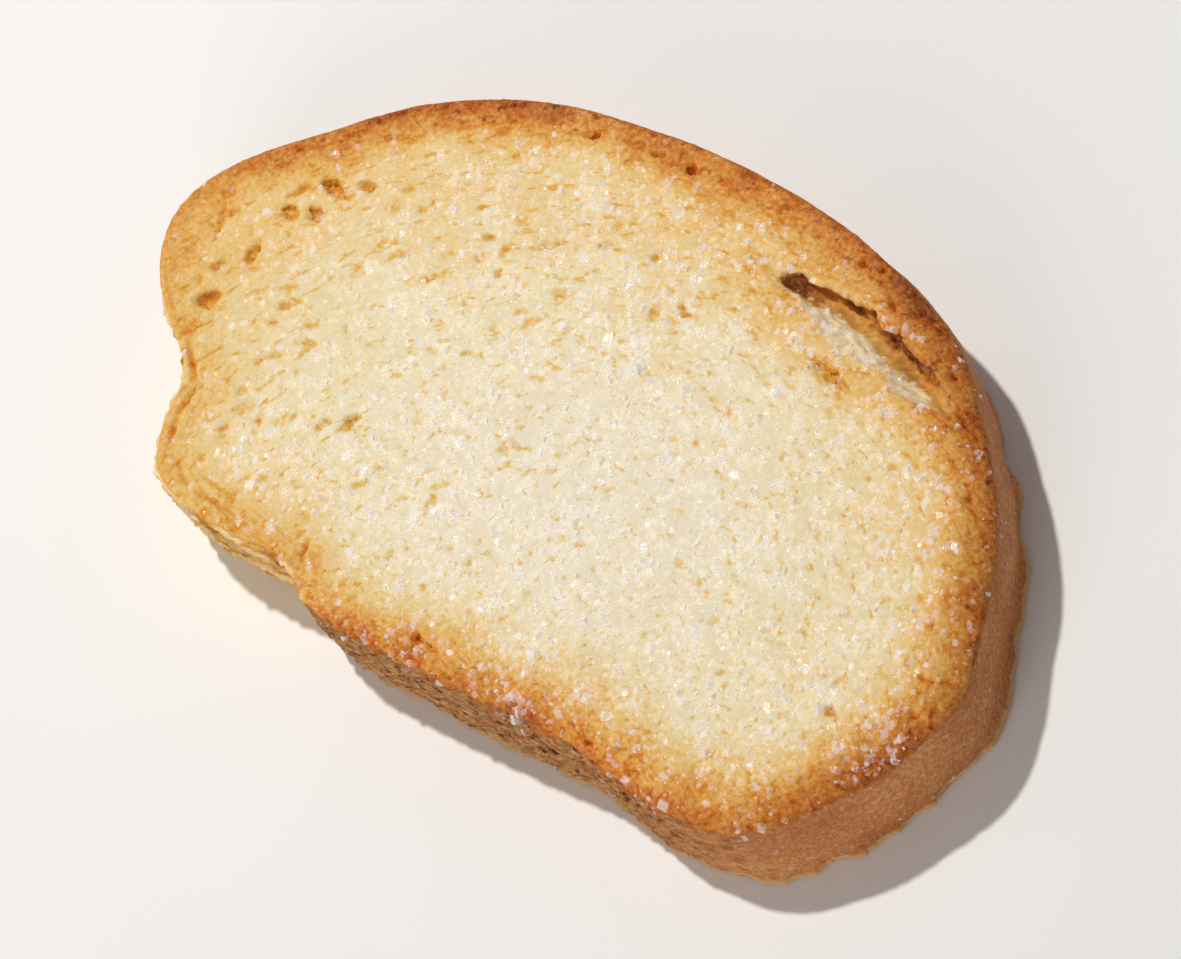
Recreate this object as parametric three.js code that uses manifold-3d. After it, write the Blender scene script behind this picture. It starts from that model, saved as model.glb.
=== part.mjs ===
// A sweet rusk: one slice of a twice-baked milk loaf, lying on its plain cut face.
// Millimetres, +Z up. X runs along the slice, Y from the base crust to the domed top crust,
// and the origin is under the middle of the slice, on the surface it lies on.
import * as THREE from 'three';
import { mergeVertices } from 'three/addons/utils/BufferGeometryUtils.js';
import Module from 'manifold-3d';

// Driving dimensions
const length = 96;            // along X, tip to tip at the rims
const width = 57;             // along Y, base crust to dome at the rims
const thickness = 11.5;       // of the slice, at its rim
const dish = 0.6;             // how far the dried crumb has sunk below the rim
const dishRings = [3, 6.5, 12, 22];   // insets from the rim over which it sinks
const bulge = 0.25;           // of the crust between the two cut faces
const faceRound = 0.5;        // rounding where the crust meets the upper cut face
const footRound = 0.4;        // and where it meets the lower one
const rimReference = 40;      // radius at which an inset is worth its full size
const outlineSteps = 150;     // facets round the slice
const roundSteps = 3;         // facets across a rounded rim
const sideLevels = [2.6, 4.8, 6.6, 7.4, 8.0, 8.6, 9.3];   // heights of the rings between the rims

// The slice's outline seen from above, counter-clockwise from the left tip. The left end runs
// in to a notch and out again to a lobe, where the slice was pulled off the next loaf; the
// baked base crust starts after the lobe with a short step outwards.
const outline = [
  [-48.0, 0.6], [-46.6, -5.0], [-42.8, -9.4], [-38.4, -12.2], [-36.4, -15.2],
  [-35.6, -19.2], [-33.6, -23.4], [-29.6, -25.1], [-22.0, -25.6], [-15.6, -25.4],
  [-13.4, -27.2], [-9.8, -28.3], [-2.0, -28.3], [8.0, -27.8], [20.0, -27.3],
  [29.6, -28.5], [36.4, -27.1], [42.0, -22.0], [46.4, -14.4], [48.0, -6.6],
  [45.4, 1.6], [41.0, 10.4], [34.8, 17.4], [27.6, 23.3], [17.0, 26.8],
  [2.0, 28.5], [-11.0, 27.7], [-22.4, 25.2], [-32.2, 19.8], [-38.8, 13.6], [-45.2, 7.0],
];

// Torn side of the lobe: a top leaf, a groove, a lower ledge, then a slope running in under it.
const torn = {
  from: [-44.0, -8.4],        // outline points between which the side is torn
  to: [-14.6, -26.2],
  fade: 2.5,                  // length over which the tear starts and ends
  groove: 1.5, grooveDepth: 3.2,
  ledge: 0.3, ledgeDepth: 7.5,
  foot: 1.4,                  // how far the underside stops short of the top leaf
};

// Foot of the crust, which spread outwards in the tin at the right end of the base
const spread = { at: [33.0, -28.0], reach: 1.1, length: 21 };

// Long hollow under the dome's crust, on the upper right: steep on the crust's side, with a ramp
// rising from its deepest line to the open face on the other.
const hollow = {
  path: [[9.8, 20.7], [14.0, 20.4], [19.0, 19.7], [23.6, 18.4], [28.4, 17.2], [32.6, 15.9]],
  outerWidth: 2.1,            // from the deepest line to the steep side
  rampWidth: 3.0,             // from the deepest line to the ramp's lip
  depth: 3.4,                 // below the rim
  undercut: 0.6,              // depth at which the steep side stands furthest out
  cover: 0.5,                 // share of the depth that the cutting shape stands above the rim
  steps: 26,
  sides: 16,
};

// Large open cells in the crumb, cut by flattened balls whose middles lie in the face.
const cells = [
  { x: -34.8, y: 8.8, long: 3.8, wide: 1.6, deep: 1.1, turn: -12 },
  { x: -34.9, y: 5.7, long: 2.2, wide: 1.5, deep: 0.8, turn: 13 },
  { x: -37.3, y: 4.8, long: 2.4, wide: 1.4, deep: 0.7, turn: -15 },
  { x: -31.7, y: 10.4, long: 1.8, wide: 1.0, deep: 0.6, turn: 46 },
  { x: -39.3, y: -6.5, long: 3.0, wide: 2.0, deep: 0.7, turn: 64 },
  { x: 20.1, y: 14.3, long: 6.4, wide: 1.3, deep: 0.6, turn: -14 },
];
const cellSides = [14, 8];    // facets round and along a flattened ball

const bakedCrumb = new THREE.MeshStandardMaterial({ color: '#e6c988', roughness: 0.85, metalness: 0 });

const wasm = await Module();
wasm.setup();

// A smooth closed curve through the outline's points, brought to the slice's length and width
function makeOutline() {
  const points = outline.map(([x, y]) => new THREE.Vector3(x, y, 0));
  const curve = new THREE.CatmullRomCurve3(points, true, 'centripetal');
  const drawn = new THREE.Box3().setFromPoints(curve.getPoints(600)).getSize(new THREE.Vector3());
  const scale = new THREE.Vector3(length / drawn.x, width / drawn.y, 1);
  for (const point of points) point.multiply(scale);
  curve.arcLengthDivisions = 600;
  curve.updateArcLengths();
  return curve;
}
const outlineCurve = makeOutline();

// Distance round the outline, from 0 to 1, of the place nearest to a point
function placeOnOutline([x, y]) {
  const target = new THREE.Vector3(x, y, 0);
  const samples = 720;
  let best = 0;
  for (let i = 1; i < samples; i += 1) {
    const here = outlineCurve.getPointAt(i / samples).distanceTo(target);
    if (here < outlineCurve.getPointAt(best / samples).distanceTo(target)) best = i;
  }
  return best / samples;
}

// A closed geometry as a solid, without the empty triangles at a lathe's poles
function toSolid(geometry) {
  geometry.deleteAttribute('normal');
  geometry.deleteAttribute('uv');
  const merged = mergeVertices(geometry);
  const index = merged.getIndex().array;
  const kept = [];
  for (let i = 0; i < index.length; i += 3) {
    const [a, b, c] = [index[i], index[i + 1], index[i + 2]];
    if (a !== b && b !== c && c !== a) kept.push(a, b, c);
  }
  const mesh = new wasm.Mesh({
    numProp: 3,
    vertProperties: new Float32Array(merged.getAttribute('position').array),
    triVerts: new Uint32Array(kept),
  });
  return new wasm.Manifold(mesh);
}

function toGeometry(solid) {
  const mesh = solid.getMesh();
  const geometry = new THREE.BufferGeometry();
  geometry.setAttribute('position', new THREE.BufferAttribute(mesh.vertProperties, 3));
  geometry.setIndex(new THREE.BufferAttribute(mesh.triVerts, 1));
  geometry.computeVertexNormals();
  return geometry;
}

// Half section of the slice, from the middle of the underside, round the rim, to the middle of
// the upper face. X is an inset from the rim turned into a share of the radius.
function sliceSection() {
  const share = (inset) => 1 - inset / rimReference;
  const top = thickness;
  const points = [[0, 0]];
  for (let i = 0; i <= roundSteps; i += 1) {
    const a = (i / roundSteps) * Math.PI / 2;
    points.push([share(footRound * (1 - Math.sin(a))), footRound * (1 - Math.cos(a))]);
  }
  for (const z of sideLevels) points.push([share(-bulge * Math.sin(Math.PI * z / top)), z]);
  for (let i = roundSteps; i >= 0; i -= 1) {
    const a = (i / roundSteps) * Math.PI / 2;
    points.push([share(faceRound * (1 - Math.sin(a))), top - faceRound * (1 - Math.cos(a))]);
  }
  for (const inset of dishRings) {
    points.push([share(inset), top - dish * Math.sin(inset / dishRings.at(-1) * Math.PI / 2)]);
  }
  points.push([0, top - dish]);
  return points.map(([x, y]) => new THREE.Vector2(x, y));
}

// How far the torn side stands in from the outline at a depth below the upper face
function tornInset(depth) {
  const { smoothstep } = THREE.MathUtils;
  const groove = torn.groove * (1 - Math.min(1, Math.abs(depth - torn.grooveDepth) / 0.7));
  const ledge = torn.ledge * smoothstep(depth, torn.grooveDepth - 0.7, torn.grooveDepth);
  const slope = (torn.foot - torn.ledge) * smoothstep(depth, torn.ledgeDepth, thickness);
  return Math.max(groove, ledge) + slope;
}

// The whole slice: the section turned on a lathe, then its round rings laid on the outline
function makeSlice() {
  const geometry = new THREE.LatheGeometry(sliceSection(), outlineSteps).rotateX(Math.PI / 2);
  const [tearStart, tearEnd] = [placeOnOutline(torn.from), placeOnOutline(torn.to)];
  const fade = torn.fade / outlineCurve.getLength();
  const spreadPoint = new THREE.Vector3(...spread.at, 0);
  const { smoothstep } = THREE.MathUtils;
  const position = geometry.getAttribute('position');
  for (let i = 0; i < position.count; i += 1) {
    const [x, y, z] = [position.getX(i), position.getY(i), position.getZ(i)];
    const reach = Math.hypot(x, y);
    const place = (Math.atan2(x, -y) / (2 * Math.PI) + 1) % 1;
    const rim = outlineCurve.getPointAt(place);
    const tear = smoothstep(place, tearStart, tearStart + fade)
      * (1 - smoothstep(place, tearEnd - fade, tearEnd));
    const inset = tear * tornInset(thickness - z) * smoothstep(reach, 0.5, 0.9);
    const fromSpread = rim.distanceTo(spreadPoint) / spread.length;
    const outwards = spread.reach * Math.exp(-fromSpread * fromSpread) * (1 - z / thickness);
    const flat = rim.multiplyScalar(reach === 0 ? 0 : reach + (reach * outwards - inset) / rim.length());
    position.setXYZ(i, flat.x, flat.y, z);
  }
  return toSolid(geometry);
}

// The hollow: a spindle laid along its path, its round section made steep outside, a ramp inside
function makeHollow() {
  const path = new THREE.CatmullRomCurve3(hollow.path.map(([x, y]) => new THREE.Vector3(x, y, 0)));
  const section = [];
  for (let i = 0; i <= hollow.steps; i += 1) {
    const u = i / hollow.steps;
    const swell = i === 0 || i === hollow.steps ? 0 : Math.pow(Math.sin(Math.PI * u), 0.55);
    section.push(new THREE.Vector2(swell, u));
  }
  const geometry = new THREE.LatheGeometry(section, hollow.sides);
  const position = geometry.getAttribute('position');
  for (let i = 0; i < position.count; i += 1) {
    const [across, along, down] = [position.getX(i), position.getY(i), position.getZ(i)];
    const middle = path.getPointAt(along);
    const tangent = path.getTangentAt(along);
    const outwards = new THREE.Vector3(-tangent.y, tangent.x, 0);
    const ramp = across < 0 ? Math.hypot(across, down) + across : down;
    const depth = down < 0 ? down * hollow.cover * hollow.depth : ramp * hollow.depth;
    middle.addScaledVector(outwards, across * (across < 0 ? hollow.rampWidth : hollow.outerWidth));
    position.setXYZ(i, middle.x, middle.y, thickness - depth - hollow.undercut * Math.max(0, across));
  }
  return toSolid(geometry);
}

function makeCell({ x, y, long, wide, deep, turn }) {
  const geometry = new THREE.SphereGeometry(0.5, ...cellSides)
    .rotateX(Math.PI / 2)
    .scale(long, wide, 2 * deep)
    .rotateZ(THREE.MathUtils.degToRad(turn))
    .translate(x, y, thickness - dish / 2);
  return toSolid(geometry);
}

let slice = makeSlice().subtract(makeHollow());
for (const cell of cells) slice = slice.subtract(makeCell(cell));

const rusk = new THREE.Mesh(toGeometry(slice), bakedCrumb);
rusk.name = 'rusk';
const middle = new THREE.Box3().setFromObject(rusk).getCenter(new THREE.Vector3());
rusk.position.set(-middle.x, -middle.y, 0);

const model = new THREE.Group();
model.add(rusk);

export default model;
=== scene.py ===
import math
import random

import bmesh
import bpy
from mathutils import Euler, Matrix, Vector, kdtree, noise
from mathutils.bvhtree import BVHTree


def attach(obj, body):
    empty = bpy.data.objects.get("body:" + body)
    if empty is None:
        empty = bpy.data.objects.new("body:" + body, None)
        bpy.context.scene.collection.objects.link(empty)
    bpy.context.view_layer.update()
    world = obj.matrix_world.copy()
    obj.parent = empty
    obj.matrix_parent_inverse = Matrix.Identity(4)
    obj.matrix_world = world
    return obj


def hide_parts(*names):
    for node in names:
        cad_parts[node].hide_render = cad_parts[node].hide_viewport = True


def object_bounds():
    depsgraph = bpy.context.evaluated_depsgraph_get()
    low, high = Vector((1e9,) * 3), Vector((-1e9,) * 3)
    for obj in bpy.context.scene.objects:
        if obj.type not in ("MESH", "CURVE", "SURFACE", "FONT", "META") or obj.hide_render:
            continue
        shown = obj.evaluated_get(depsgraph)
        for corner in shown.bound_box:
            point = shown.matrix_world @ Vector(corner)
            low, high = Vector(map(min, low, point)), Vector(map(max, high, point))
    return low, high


# A sweet rusk lying on a pale floor: a slice of twice-baked milk loaf with sugar on its face.
# The CAD slice gives the size; here it gets its pores, crust and torn layers, and the sugar.

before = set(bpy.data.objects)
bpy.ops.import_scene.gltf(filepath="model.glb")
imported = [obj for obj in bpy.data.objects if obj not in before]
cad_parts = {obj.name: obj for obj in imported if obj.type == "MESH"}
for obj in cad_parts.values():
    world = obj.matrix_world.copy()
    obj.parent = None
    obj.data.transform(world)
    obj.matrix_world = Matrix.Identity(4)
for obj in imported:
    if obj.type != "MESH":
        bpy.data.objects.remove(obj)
cadLow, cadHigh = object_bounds()
mm = 0.001


def linear(hexColour):  # sRGB hex to the linear colour that shaders read
    parts = [int(hexColour[i:i + 2], 16) / 255 for i in (1, 3, 5)]
    return [c / 12.92 if c <= 0.04045 else ((c + 0.055) / 1.055) ** 2.4 for c in parts] + [1.0]


def ease(low, high, value):  # 0 below low, 1 above high, smooth between; low may be the greater
    t = min(1.0, max(0.0, (value - low) / (high - low)))
    return t * t * (3 - 2 * t)


def showMesh(name, mesh):
    piece = bpy.data.objects.new(name, mesh)
    bpy.context.scene.collection.objects.link(piece)
    return piece


def applyModifier(piece, kind, **settings):
    modifier = piece.modifiers.new(kind.title(), kind)
    for key, value in settings.items():
        setattr(modifier, key, value)
    shaped = piece.evaluated_get(bpy.context.evaluated_depsgraph_get())
    mesh = bpy.data.meshes.new_from_object(shaped)
    piece.modifiers.clear()
    old, piece.data = piece.data, mesh
    bpy.data.meshes.remove(old)


def addNode(tree, kind, links=(), values=(), stops=(), **settings):
    # links: (input, source node) or (input, source node, its output); values: (input, constant);
    # stops: (place, hex colour) of a colour ramp
    node = tree.nodes.new("ShaderNode" + kind)
    for key, value in settings.items():
        setattr(node, key, value)
    if stops:
        band = node.color_ramp.elements
        band[0].position, band[1].position = stops[0][0], stops[-1][0]
        for place, colour in stops[1:-1]:
            band.new(place)
        for element, (place, colour) in zip(band, stops):
            element.color = linear(colour)
    for socket, value in values:
        node.inputs[socket].default_value = value
    for socket, source, *named in links:
        output = source.outputs[named[0]] if named else next(o for o in source.outputs if o.enabled)
        tree.links.new(output, node.inputs[socket])
    return node


def openMaterial(name):  # a new material, its node tree and its shader
    material = bpy.data.materials.new(name)
    material.use_nodes = True
    return material, material.node_tree, material.node_tree.nodes["Principled BSDF"]


# The view: 30 degrees off the face, from the right end of the base crust, with the picture rolled
shot = {
    "aim": (-0.0002, -0.0020, 0.0),
    "offFace": 30.0,
    "bearing": -23.9,  # degrees from +X round to the camera's side
    "roll": 35.3,
    "distance": 0.5115,
    "lens": 166.0,
}


def placeCamera():
    tilt, bearing, roll = (math.radians(shot[key]) for key in ("offFace", "bearing", "roll"))
    back = Vector((
        math.sin(tilt) * math.cos(bearing), math.sin(tilt) * math.sin(bearing), math.cos(tilt)))
    up = (Vector((0, 0, 1)) - back * back.z).normalized()
    right = up.cross(back)
    rolledUp = up * math.cos(roll) + right * math.sin(roll)
    rolledRight = right * math.cos(roll) - up * math.sin(roll)
    lens = bpy.data.cameras.new("camera")
    lens.lens = shot["lens"]
    lens.clip_start = 0.01
    camera = bpy.data.objects.new("camera", lens)
    bpy.context.scene.collection.objects.link(camera)
    turn = Matrix((rolledRight, rolledUp, back)).transposed()
    place = Vector(shot["aim"]) + back * shot["distance"]
    camera.matrix_world = Matrix.Translation(place) @ turn.to_4x4()
    bpy.context.scene.camera = camera


# Studio light from high over the torn end of the slice, with a pale room filling the shade
studio = {
    "room": ("#ffffff", 0.20),
    "lamps": {
        "key": {"at": (-0.261, 0.075, 0.557), "size": 0.03, "power": 2.62, "colour": "#fffdf9"},
        "front": {"at": (0.14, -0.53, 0.20), "size": 0.40, "power": 1.15, "colour": "#fffaf2"},
    },
    "floorColours": ("#faf9f8", "#f6f5f4"),
    "floorMottle": 1 / 30,  # metres across one cloud of its paint
    "floorSide": 4.0,
    "floorGap": 0.05 * mm,  # keeps the floor clear of the slice's underside
}


def lightStudio():
    world = bpy.data.worlds.new("room")
    world.use_nodes = True
    colour, strength = studio["room"]
    background = world.node_tree.nodes["Background"]
    background.inputs["Color"].default_value = linear(colour)
    background.inputs["Strength"].default_value = strength
    bpy.context.scene.world = world
    for name, lamp in studio["lamps"].items():
        light = bpy.data.lights.new(name, "AREA")
        light.shape = "DISK"
        light.size = lamp["size"]
        light.energy = lamp["power"]
        light.color = linear(lamp["colour"])[:3]
        stand = bpy.data.objects.new(name, light)
        stand.location = lamp["at"]
        stand.rotation_euler = Vector(lamp["at"]).to_track_quat("Z", "Y").to_euler()
        bpy.context.scene.collection.objects.link(stand)
    bpy.context.scene.view_settings.view_transform = "Standard"


def paintedBoard():
    # Matt white emulsion on board: even, with no shine and no grain that shows from here
    material, tree, shader = openMaterial("matt_white_board")
    coords = addNode(tree, "TexCoord")
    mottle = addNode(
        tree, "TexNoise", [("Vector", coords, "Object")],
        [("Scale", 1 / studio["floorMottle"]), ("Detail", 3.0)])
    paint, shade = (linear(colour) for colour in studio["floorColours"])
    tint = addNode(
        tree, "Mix", [("Factor", mottle)], [("A", paint), ("B", shade)], data_type="RGBA")
    tree.links.new(tint.outputs["Result"], shader.inputs["Base Color"])
    shader.inputs["Roughness"].default_value = 0.9
    shader.inputs["Specular IOR Level"].default_value = 0.2
    return material


def layFloor():
    bm = bmesh.new()
    bmesh.ops.create_grid(bm, x_segments=8, y_segments=8, size=studio["floorSide"] / 2)
    bmesh.ops.translate(bm, verts=bm.verts, vec=(0, 0, -studio["floorGap"]))
    mesh = bpy.data.meshes.new("floor")
    bm.to_mesh(mesh)
    bm.free()
    floor = showMesh("floor", mesh)
    mesh.materials.append(paintedBoard())


# The slice, in millimetres unless a name says otherwise
slab = {
    "seed": 6,
    "voxel": 0.28,
    "smoothing": 2,
    "rimBelow": 1.9,  # depth under the top at which the outline is read
    "outlineStep": 0.4,
    "evenOver": 4,  # steps to each side over which the outward direction is evened
    "crustDepth": (4.5, 3.0),  # inset from the outline over which the side turns to crust
    "sideSlope": (0.80, 0.35),  # upward share of the normal over which the face turns to side
    "steepSlope": (0.62, 0.35),  # the same for what is steep within the hollow
    "dish": (0.6, 22),  # how far the face has sunk in CAD, and the inset over which it sinks
    "tornFrom": 189.0,  # degrees round the middle of the slice, from +X
    "tornTo": 241.0,
    "baseFrom": (238.0, 246.0),  # the base crust starts sharply and fades into the dome's side
    "baseTo": (334.0, 308.0),
    "toastOver": (0.9, 1.8),  # browning that runs over the base's upper edge: mean, and its swing
    "triangles": 194000,  # left after thinning the plain areas
    "plainUnder": ((2.5, 0.8), (1.5, 3.0)),  # thinned underside: its heights, and insets
    "plainFar": (20, 175),  # thinned far crust: bearings
    "worn": (65.0, 230.0),  # degrees round from -X between which the upper edge is worn round
    "wornWidth": 4.2,
    "wornDrop": 1.9,
    "wornDepth": 7,  # down to here the side closes up under it
    "rose": (9.0, -27.7),  # where the loaf rose from: its cells lie on arcs round this point
    "arc": 40,  # usual radius of these arcs
}


def cutOutline(solid):
    # The slice's outline just under its top rim: points and their outward directions, in mm
    bm = bmesh.new()
    bm.from_mesh(solid)
    bmesh.ops.remove_doubles(bm, verts=bm.verts, dist=0.001 * mm)
    level = cadHigh.z - slab["rimBelow"] * mm
    everything = bm.verts[:] + bm.edges[:] + bm.faces[:]
    bmesh.ops.bisect_plane(
        bm, geom=everything, plane_co=(0, 0, level), plane_no=(0, 0, 1),
        clear_inner=True, clear_outer=True)
    bm.verts.ensure_lookup_table()
    left = set(bm.verts)
    loops = []
    for start in bm.verts:  # the longest loop is the outline, the others are the hollow and cells
        if start not in left:
            continue
        left.discard(start)
        loop, here = [start], start
        while True:
            onward = [e.other_vert(here) for e in here.link_edges if e.other_vert(here) in left]
            if not onward:
                break
            here = onward[0]
            left.discard(here)
            loop.append(here)
        loops.append([v.co / mm for v in loop])
    bm.free()
    corners = max(loops, key=len)
    points = []
    for a, b in zip(corners, corners[1:] + corners[:1]):
        steps = max(1, round((b - a).length / slab["outlineStep"]))
        points += [a.lerp(b, i / steps) for i in range(steps)]
    return [Vector((p.x, p.y, 0)) for p in points]


def makeTree(points):
    tree = kdtree.KDTree(len(points))
    for i, point in enumerate(points):
        tree.insert(point, i)
    tree.balance()
    return tree


def outwardAt(outline):  # the outward direction at each point, evened over its neighbours
    directions = []
    turned = sum(a.x * b.y - b.x * a.y for a, b in zip(outline, outline[1:] + outline[:1]))
    reach = slab["evenOver"]
    for i in range(len(outline)):
        along = (outline[(i + reach) % len(outline)] - outline[i - reach]) * math.copysign(1, turned)
        directions.append(Vector((along.y, -along.x, 0)).normalized())
    return directions


def bearingOf(x, y):  # degrees round the slice's middle, 0 at the right end, 90 at the dome
    return math.degrees(math.atan2(y, x)) % 360


def within(start, end, bearing, fade=3.0):
    return ease(start - fade, start + fade, bearing) * ease(end + fade, end - fade, bearing)


# How brown the rim is round the slice: bearing, tone at the rim from 0 pale to 1 dark, fade in mm
rimTones = [
    (0, 0.76, 5.8), (22, 0.80, 5.8), (42, 0.85, 6.6), (62, 0.82, 6.0), (80, 0.75, 6.0),
    (105, 0.75, 5.6), (125, 0.81, 5.6), (150, 0.84, 5.6), (168, 0.72, 5.6), (182, 0.58, 6.0),
    (193, 0.42, 8.0), (215, 0.35, 8.0), (232, 0.37, 7.0), (242, 0.56, 5.2), (252, 0.72, 5.0),
    (275, 0.74, 5.2), (300, 0.74, 5.8), (322, 0.74, 6.2), (338, 0.73, 6.6), (350, 0.74, 6.2),
    (360, 0.76, 5.8),
]
faceTone = {
    "middle": (5.0, -9.0),  # the palest place
    "stretch": 1.5,  # how much faster it browns across the slice than along it
    "reach": 44.0,
    "edge": 0.25,  # tone at that reach
    "power": 1.4,
    "rimPower": 1.35,  # how sharply the rim's browning ends
    "wander": (1.1, 0.5),  # of that end, in mm, coarse and fine
    "overlap": 0.25,
}


def rimTone(bearing):
    for (a, toneA, fadeA), (b, toneB, fadeB) in zip(rimTones, rimTones[1:]):
        if a <= bearing <= b:
            t = ease(a, b, bearing)
            return toneA + (toneB - toneA) * t, fadeA + (fadeB - fadeA) * t
    return rimTones[0][1:]


def toneAt(place, fromRim, bearing):
    # Browning of the cut face: dark at the rim, gone within a few mm, pale in the middle
    tone, fade = rimTone(bearing)
    coarse, fine = faceTone["wander"]
    wander = coarse * noise.noise(place * 0.32) + fine * noise.noise(place * 1.1)
    rim = tone * math.exp(-(max(0.0, fromRim + wander) / fade) ** faceTone["rimPower"])
    x, y = faceTone["middle"]
    away = math.hypot(place.x - x, (place.y - y) * faceTone["stretch"])
    inner = faceTone["edge"] * min(1.0, away / faceTone["reach"]) ** faceTone["power"]
    return max(rim, inner) + faceTone["overlap"] * min(rim, inner)


# Open cells in the crumb, largest first: x, y, length, width, depth, turn in degrees
cells = [
    (-34.8, 9.1, 3.8, 1.7, 0.3, -12), (-34.9, 6.0, 2.1, 1.4, 0.3, 13), (-37.3, 5.1, 2.4, 1.4, 0.2, -15),
    (-31.7, 10.7, 1.8, 1.0, 0.3, 46), (-39.3, -6.2, 2.9, 1.8, 0.3, 64), (20.1, 14.6, 6.2, 0.9, 0.4, -14),
    (-37.9, 7.2, 2.6, 0.8, 0.5, 62), (-38.2, -0.2, 2.8, 0.9, 0.6, 78), (-40.6, -2.8, 1.6, 0.8, 0.6, 66),
    (-43.6, 0.2, 0.6, 0.6, 0.6, 0),
    (-31.9, -5.2, 0.6, 0.6, 0.7, 0), (-42.6, 2.4, 1.8, 0.6, 0.4, 59), (-31.6, -2.9, 2.6, 0.8, 0.4, 42),
    (-24.7, 6.5, 2.6, 0.7, 0.4, 46), (-27.7, -5.4, 2.2, 0.8, 0.4, 22), (-20.7, 5.4, 2.2, 0.6, 0.4, 36),
    (-17.5, 11.7, 1.5, 0.5, 0.4, 26), (-11.7, 13.7, 2.6, 0.6, 0.5, 40), (-14.8, 8.9, 1.0, 0.6, 0.7, 26),
    (-6.6, 16.3, 2.2, 0.6, 0.5, 44), (-1.7, 17.1, 1.9, 0.6, 0.5, 80), (4.1, 13.7, 2.2, 0.7, 0.5, -4),
    (8.3, 16.1, 0.9, 0.7, 0.6, 0), (-21.2, -11.7, 2.2, 0.8, 0.4, 58), (-19.0, -10.5, 2.8, 0.9, 0.5, 54),
    (-14.5, 25.1, 1.9, 0.7, 0.7, 40), (-7.2, 26.2, 1.6, 0.6, 0.7, 20), (-3.4, 26.3, 2.0, 0.7, 0.8, -5),
    (6.7, 26.3, 0.9, 0.7, 0.7, 0), (16.8, 25.3, 1.0, 0.7, 0.7, 0), (22.0, 22.7, 0.8, 0.7, 0.6, 0),
    (-0.2, -25.4, 1.5, 0.8, 0.8, 5), (2.0, -25.6, 1.2, 0.8, 0.8, 0),
    (19.6, -26.2, 1.7, 0.7, 0.7, -7), (44.6, -6.6, 1.5, 0.6, 0.5, 13), (45.6, -9.9, 1.3, 0.6, 0.5, 53),
    (38.3, -13.3, 1.2, 1.0, 0.6, 30), (29.0, -9.6, 1.2, 0.5, 0.5, 60), (33.6, 16.2, 2.2, 0.5, 0.6, -35),
    (18.8, 25.6, 0.9, 0.6, 0.6, -20), (22.7, 24.6, 0.8, 0.6, 0.6, 0), (21.7, 22.9, 0.9, 0.6, 0.6, -60),
    (24.7, 23.6, 1.0, 0.6, 0.6, 50), (30.5, 19.5, 0.9, 0.6, 0.6, 0), (38.5, 9.7, 0.8, 0.6, 0.5, 20),
]
# Creases where the torn end folded: x, y, length, width, depth, turn
creases = [
    (-36.6, -12.6, 4.2, 0.6, 0.55, -44), (-34.8, -16.0, 3.6, 0.55, 0.50, -88),
    (-34.1, -19.2, 3.4, 0.5, 0.40, -70), (-43.1, 1.0, 3.8, 0.6, 0.45, -70),
    (-27.0, -14.7, 3.6, 0.6, 0.30, -76), (-15.1, -23.0, 2.4, 0.6, 0.45, 107),
    (-26.2, -23.3, 5.2, 0.5, 0.25, -2), (-30.6, -22.4, 4.0, 0.5, 0.25, -32),
    (-26.8, -21.9, 4.2, 0.5, 0.20, -6),
]
pores = {
    "seed": 11,
    "top": 360,
    "under": 300,
    "area": (47, 28),  # half the length and half the width over which they lie
    "length": (0.5, 2.3),
    "shorter": 0.55,  # share of that range for those at the right end, from x 5
    "slim": (0.28, 0.6),  # width against length
    "roundBelow": 0.9,  # those shorter than this are nearly round
    "round": (0.7, 1.0),
    "leastWidth": 0.45,
    "depth": (0.08, 0.26),
    "narrow": (0.5, 0.7),  # those narrower than the first are shallower, by the second
    "stray": 22.0,  # degrees that a cell may lie off its arc
    "wander": (0.50, 1.1),  # how far a cell's edge wanders, and how uneven its floor is
    "creaseWander": (0.16, 0.5),
    "wall": (1.2, 0.5),  # where its wall starts and ends, against half its width
    "golden": 0.32,  # how much golden painted shade the shallowest get, from 0 to 1
    "cadDepth": (0.10, 0.32),  # depth over which the cells cut in CAD turn golden with painted shade
    "cadShade": 0.75,
    "largest": 6,  # the first of the list above, whose rims are frayed
    "frayReach": 1.2,
    "fray": (0.55, 0.18),  # coarse and fine
}


def flowAt(x, y):  # direction in degrees of the cells at a place
    return math.degrees(math.atan2(y - slab["rose"][1], x - slab["rose"][0])) - 90


def scatterPores(count, draw):
    # Random cells: small and round towards the right end, longer and slimmer towards the left
    found = []
    while len(found) < count:
        x, y = (draw.uniform(-half, half) for half in pores["area"])
        longShare = draw.random() ** 2.2 * (1.0 if x < 5 else pores["shorter"])
        low, high = pores["length"]
        length = low + (high - low) * longShare
        width = length * draw.uniform(*pores["slim" if length > pores["roundBelow"] else "round"])
        narrow, shallower = pores["narrow"]
        depth = draw.uniform(*pores["depth"]) * (1.0 if width > narrow else shallower)
        turn = flowAt(x, y) + draw.gauss(0, pores["stray"])
        found.append((x, y, length, max(pores["leastWidth"], width), depth, turn))
    return found


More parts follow.
